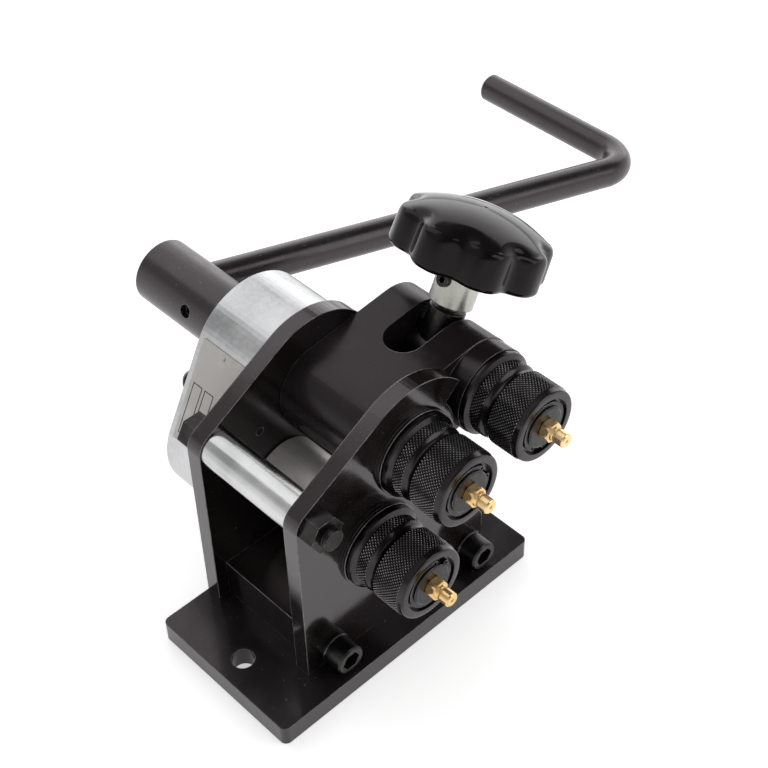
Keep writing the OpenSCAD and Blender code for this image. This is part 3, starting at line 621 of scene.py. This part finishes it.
def add_cap_screws(node, sign):
    """Two cap screws on washers; sign is -1 for heads that point to the front."""
    low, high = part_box(node)
    z = (low.z + high.z) / 2
    plate_y = (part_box("front_plate")[0].y if sign < 0 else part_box("rear_plate")[1].y) / MM
    head = WASHER_T + HEAD_H
    bevel_depth, bevel_width = SOCKET_BEVEL
    rows = [(-SHANK_LEN, CORE_R), (-SHANK_LEN, SHANK_R), (0.0, SHANK_R), (0.0, WASHER_R),
            (WASHER_T - WASHER_BEVEL, WASHER_R), (WASHER_T, WASHER_R - WASHER_BEVEL), (WASHER_T, HEAD_R),
            (head - HEAD_BEVEL, HEAD_R), (head, HEAD_R - HEAD_BEVEL), (head, hexagon(SOCKET_AF + bevel_width)),
            (head - bevel_depth, hexagon(SOCKET_AF)), (head - SOCKET_DEPTH, hexagon(SOCKET_AF)),
            (head - SOCKET_DEPTH, CORE_R)]
    rows = [(plate_y + sign * t, r) for t, r in rows]
    verts, faces = [], []
    for x in (low.x + HEAD_R * MM, high.x - HEAD_R * MM):
        faces += ring_faces(len(rows), HEX_COLUMNS, first=len(verts))
        verts += rings(y_axis(x, z), rows, HEX_COLUMNS)
    shown_mesh(node + "_washers", verts, faces, "oxide", "frame", node)


# The sleeve on the lower shaft
SLEEVE_R = 22.0
SLEEVE_BORE = 12.6
SLEEVE_BEVEL = 0.8
SLEEVE_COLUMNS = 96
SIDE_GAP = 0.3


def add_sleeve():
    """The bright sleeve that fills the space between the plates."""
    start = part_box("front_plate")[1].y / MM + SIDE_GAP
    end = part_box("rear_plate")[0].y / MM - SIDE_GAP
    rows = [(start, SLEEVE_BORE), (start, SLEEVE_R - SLEEVE_BEVEL), (start + SLEEVE_BEVEL, SLEEVE_R),
            (end - SLEEVE_BEVEL, SLEEVE_R), (end, SLEEVE_R - SLEEVE_BEVEL), (end, SLEEVE_BORE)]
    turned("lower_sleeve_full", node_axis("lower_sleeve"), rows, SLEEVE_COLUMNS, "sleeve", "lower",
           "lower_sleeve")


# The tie bolt's threaded end
STUD_PITCH = 1.75
STUD_R = 6.12
STUD_DEPTH = 0.1
STUD_LEN = 4.6
STUD_INNER_R = 5.5
STUD_COLUMNS = 48


def add_stud_thread():
    """The thread on the tie bolt's end, in front of its nut."""
    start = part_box("tie_bolt")[0].y / MM
    count = int(STUD_LEN / STUD_PITCH * THREAD_STEPS)
    heights = [STUD_LEN * i / count for i in range(count + 1)]
    rows = [(start + t, thread(t, STUD_PITCH, STUD_R, STUD_DEPTH)) for t in heights]
    rows += [(start + STUD_LEN, STUD_INNER_R), (start, STUD_INNER_R)]
    turned("tie_bolt_thread", node_axis("tie_tube"), rows, STUD_COLUMNS, "oxide", "frame")


# Blank ruled boxes on the label, in mm from its middle: along it, across it
LABEL_BOXES = ((-10.5, 2.0), (-10.5, 11.5))
LABEL_HALF_T = 0.4
BOX_SIZE = (31.0, 7.0)
LINE_W = 0.5
LINE_T = 0.08
BAR_CORNERS = ((-1, -1), (1, -1), (1, 1), (-1, 1))
BAR_QUADS = ((0, 1, 2, 3), (4, 5, 6, 7), (0, 1, 5, 4), (1, 2, 6, 5), (2, 3, 7, 6), (3, 0, 4, 7))


def add_label_lines():
    low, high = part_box("label_plate")
    drive, lower = Vector(joints["crank_turn"]["pos_m"]), Vector(joints["lower_turn"]["pos_m"])
    along = (drive - lower).normalized()
    across = Vector((0, 1, 0))
    out = across.cross(along) * -1
    middle = (low + high) / 2
    verts, faces = [], []

    def bar(a, b, size_a, size_b):
        first = len(verts)
        for h in (LABEL_HALF_T, LABEL_HALF_T + LINE_T):
            for sa, sb in BAR_CORNERS:
                flat = (a + sa * size_a / 2) * along + (b + sb * size_b / 2) * across
                verts.append(middle + MM * (flat + h * out))
        faces.extend(tuple(first + i for i in quad) for quad in BAR_QUADS)

    length, width = BOX_SIZE
    for a, b in LABEL_BOXES:
        for side in (-1, 1):
            bar(a, b + side * width / 2, length + LINE_W, LINE_W)
            bar(a + side * length / 2, b, LINE_W, width - LINE_W)
    shown_mesh("label_boxes", verts, faces, "ink", "frame")


add_roller("drive_roller", "drive")
add_roller("lower_roller", "lower")
add_roller("bending_roller", "bend_roller")
add_nipple("drive_nipple", "drive")
add_nipple("lower_nipple", "lower")
add_nipple("bending_nipple", "pivot")
add_screw()
add_screw_nut()
add_knob()
add_cap_screws("front_cap_screws", -1)
add_cap_screws("rear_cap_screws", 1)
add_sleeve()
add_stud_thread()
add_label_lines()


# Stage, in metres: a pale floor that the camera and mirroring faces see lit, and soft studio light
FLOOR_SIZE = 8
FLOOR_Z = -0.3 * MM
FLOOR_TONES = (0.86, 0.9)
FLOOR_ROUGH = 0.7
FLOOR_SPECULAR = 0.1
FLOOR_GLOW = 0.5


def floor_material():
    s = Shader("floor_paper")
    path = s.put("ShaderNodeLightPath").outputs
    seen = s.math("MAXIMUM", path["Is Camera Ray"], path["Is Glossy Ray"])
    tone = s.mix(s.noise(scale=3, detail=2), *map(grey, FLOOR_TONES))
    s.set(Base_Color=tone, Roughness=FLOOR_ROUGH, Specular_IOR_Level=FLOOR_SPECULAR)
    s.set(Emission_Color=grey(1.0), Emission_Strength=s.math("MULTIPLY", seen, FLOOR_GLOW))
    return s.mat


def add_floor():
    bpy.ops.mesh.primitive_plane_add(size=FLOOR_SIZE, location=(0, 0, FLOOR_Z))
    floor = bpy.context.object
    floor.name = "floor"
    floor.data.materials.append(floor_material())


# What polished faces mirror: a pale sweep near the floor and above it a room that is lighter at the back left
ROOM_LEVEL = (0.06, 0.5)
ROOM_AIM = Vector((-0.5, 0.7, 0.35)).normalized()
ROOM_EDGE = (-0.1, 0.9)
SWEEP_TOP = (0.1, 0.6)
# The light that everything else gets from all round
DIFFUSE_LEVEL = 0.52


def add_world():
    world = bpy.data.worlds.new("studio")
    bpy.context.scene.world = world
    world.use_nodes = True
    s = Nodes(world.node_tree)
    back = s.tree.nodes["Background"]
    back.inputs["Color"].default_value = grey(1.0)
    path = s.put("ShaderNodeLightPath").outputs
    direction = s.put("ShaderNodeTexCoord").outputs["Generated"]
    height = s.put("ShaderNodeSeparateXYZ", direction).outputs["Z"]
    aim = s.put("ShaderNodeVectorMath", direction, ROOM_AIM, operation="DOT_PRODUCT").outputs["Value"]
    sweep = s.ramp(height, *SWEEP_TOP, out_low=1.0, out_high=0.0)
    room = s.ramp(aim, *ROOM_EDGE, *ROOM_LEVEL)
    mirrored = s.math("MAXIMUM", sweep, room)
    level = s.mix(path["Is Glossy Ray"], DIFFUSE_LEVEL, mirrored, "FLOAT")
    level = s.mix(path["Is Camera Ray"], level, 1.0, "FLOAT")
    s.wire(level, back.inputs["Strength"])


# Area lamps that aim at one point: place, size and watts
LAMP_TARGET = Vector((0.05, 0.0, 0.1))
LAMPS = {
    "key": ((0.15, 1.0, 1.3), (1.5, 1.3), 5.5),
    "fill": ((0.7, -0.9, 0.9), (0.9, 0.9), 4.5),
    "backdrop": ((1.15, 0.85, 0.55), (1.8, 0.9), 6.5),
}


def add_lamp(name, place, size, watts):
    lamp = bpy.data.lights.new(name, "AREA")
    lamp.shape = "RECTANGLE"
    lamp.size, lamp.size_y = size
    lamp.energy = watts
    lamp_object = bpy.data.objects.new(name, lamp)
    bpy.context.scene.collection.objects.link(lamp_object)
    lamp_object.location = place
    aim = LAMP_TARGET - Vector(place)
    lamp_object.rotation_euler = aim.to_track_quat("-Z", "Y").to_euler()


# Camera solved from the photograph: its place, two of its directions with a slight roll, and its lens in mm
CAMERA_PLACE = (-0.38163, -0.4488, 0.72625)
CAMERA_RIGHT = Vector((0.72108, -0.69252, -0.02164))
CAMERA_BACK = Vector((-0.49132, -0.53311, 0.68877))
CAMERA_LENS = 74.88
CAMERA_SENSOR = 36.0
CAMERA_NEAR = 0.01


def add_camera():
    data = bpy.data.cameras.new("photo_camera")
    data.lens = CAMERA_LENS
    data.sensor_width = CAMERA_SENSOR
    data.sensor_fit = "HORIZONTAL"
    data.clip_start = CAMERA_NEAR
    camera = bpy.data.objects.new("photo_camera", data)
    bpy.context.scene.collection.objects.link(camera)
    up = CAMERA_BACK.cross(CAMERA_RIGHT)
    turn = Matrix((CAMERA_RIGHT, up, CAMERA_BACK)).transposed()
    camera.matrix_world = Matrix.Translation(CAMERA_PLACE) @ turn.to_4x4()
    bpy.context.scene.camera = camera


add_floor()
add_world()
for name, (place, size, watts) in LAMPS.items():
    add_lamp(name, place, size, watts)
add_camera()
bpy.context.scene.view_settings.view_transform = "Standard"
